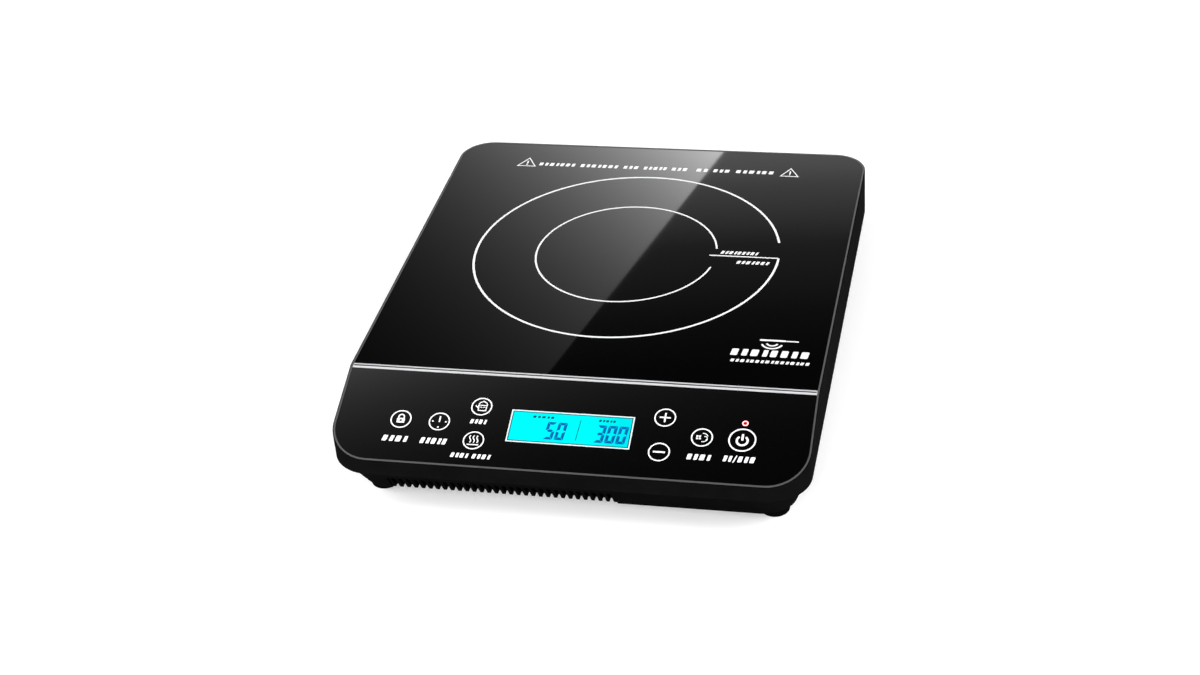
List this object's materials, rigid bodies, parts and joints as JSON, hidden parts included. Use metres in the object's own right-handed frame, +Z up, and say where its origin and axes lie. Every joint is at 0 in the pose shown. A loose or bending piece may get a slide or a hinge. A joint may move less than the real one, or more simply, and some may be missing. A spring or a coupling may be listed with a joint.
{
  "type": "portable induction cooktop",
  "caption": "Low free-standing induction cooktop: level black cooking plate, sloping touch panel with display, silver edge trim, and a vented lower casing on rubber feet.",
  "frame": {"origin": "on the table, under the middle of the plan outline", "axes": "+X to the user's right, +Y from the control panel to the back, +Z up"},
  "size_m": [0.29, 0.356, 0.0642],
  "materials": {
    "upper_case": "satin black moulded plastic",
    "lower_case": "fine-textured black moulded plastic",
    "glass_top": "polished black glass-ceramic",
    "silver_trim": "polished silver",
    "strip_metal": "brushed aluminium",
    "seal_rubber": "black silicone",
    "foot_rubber": "black rubber",
    "screw_steel": "zinc-plated",
    "mica": "pressed mica",
    "litz_wire": "enamelled copper",
    "inner_plastic": "natural moulded plastic",
    "ferrite": "sintered ferrite",
    "board_laminate": "green printed circuit board",
    "sink_metal": "extruded",
    "package_black": "moulded epoxy",
    "film_case": "yellow moulded case",
    "coil_copper": "enamelled copper",
    "capacitor_sleeve": "dark blue sleeve",
    "fuse_holder": "white",
    "varistor_blue": "blue coated disc",
    "terminal_metal": "plated",
    "socket_plastic": "ivory nylon",
    "wire_sleeve": "white silicone sleeve",
    "fan_plastic": "black",
    "bronze": "sintered bronze",
    "magnet": "bonded ferrite",
    "shaft_steel": "ground",
    "spring_steel": "plated spring",
    "display_frame": "white",
    "display_light": "cyan diffuser",
    "display_glass": "liquid crystal cell",
    "lamp_red": "red lens"
  },
  "bodies": {
    "cooktop": {"upper_casing": "upper_case", "lower_casing": "lower_case", "cooking_plate": "glass_top", "control_panel": "glass_top", "edge_trim": "silver_trim", "trim_strip": "strip_metal", "plate_seal": "seal_rubber", "panel_seal": "seal_rubber", "feet": "foot_rubber", "foot_screws": "screw_steel", "case_screws": "screw_steel", "cord_gland": "foot_rubber", "mica_sheet": "mica", "coil_winding": "litz_wire", "coil_former": "inner_plastic", "ferrite_bars": "ferrite", "sensor_cap": "seal_rubber", "temperature_sensor": "package_black", "coil_screws": "screw_steel", "main_board": "board_laminate", "board_screws": "screw_steel", "heat_sink": "sink_metal", "power_transistor": "package_black", "bridge_rectifier": "package_black", "film_capacitors": "film_case", "choke": "coil_copper", "transformer": "film_case", "electrolytic_capacitors": "capacitor_sleeve", "fuse": "fuse_holder", "surge_protector": "varistor_blue", "coil_terminals": "terminal_metal", "board_sockets": "socket_plastic", "buzzer": "package_black", "coil_leads": "wire_sleeve", "sensor_lead": "wire_sleeve", "fan_lead": "wire_sleeve", "fan_frame": "fan_plastic", "fan_bearing": "bronze", "fan_stator": "coil_copper", "fan_screws": "screw_steel", "control_carrier": "inner_plastic", "carrier_screws": "screw_steel", "control_board": "board_laminate", "control_socket": "socket_plastic", "touch_springs": "spring_steel", "display_housing": "display_frame", "display_backlight": "display_light", "display_cell": "display_glass", "power_lamp": "lamp_red", "light_guide": "display_glass", "ribbon_cable": "socket_plastic"},
    "rotor": {"fan_rotor": "fan_plastic", "fan_magnet": "magnet", "fan_shaft": "shaft_steel"}
  },
  "joints": [
    {"name": "fan_spin", "type": "hinge", "parent": "cooktop", "child": "rotor", "pos_m": [-0.075, 0.105, 0.012], "axis": [0, 0, 1], "continuous": true}
  ]
}
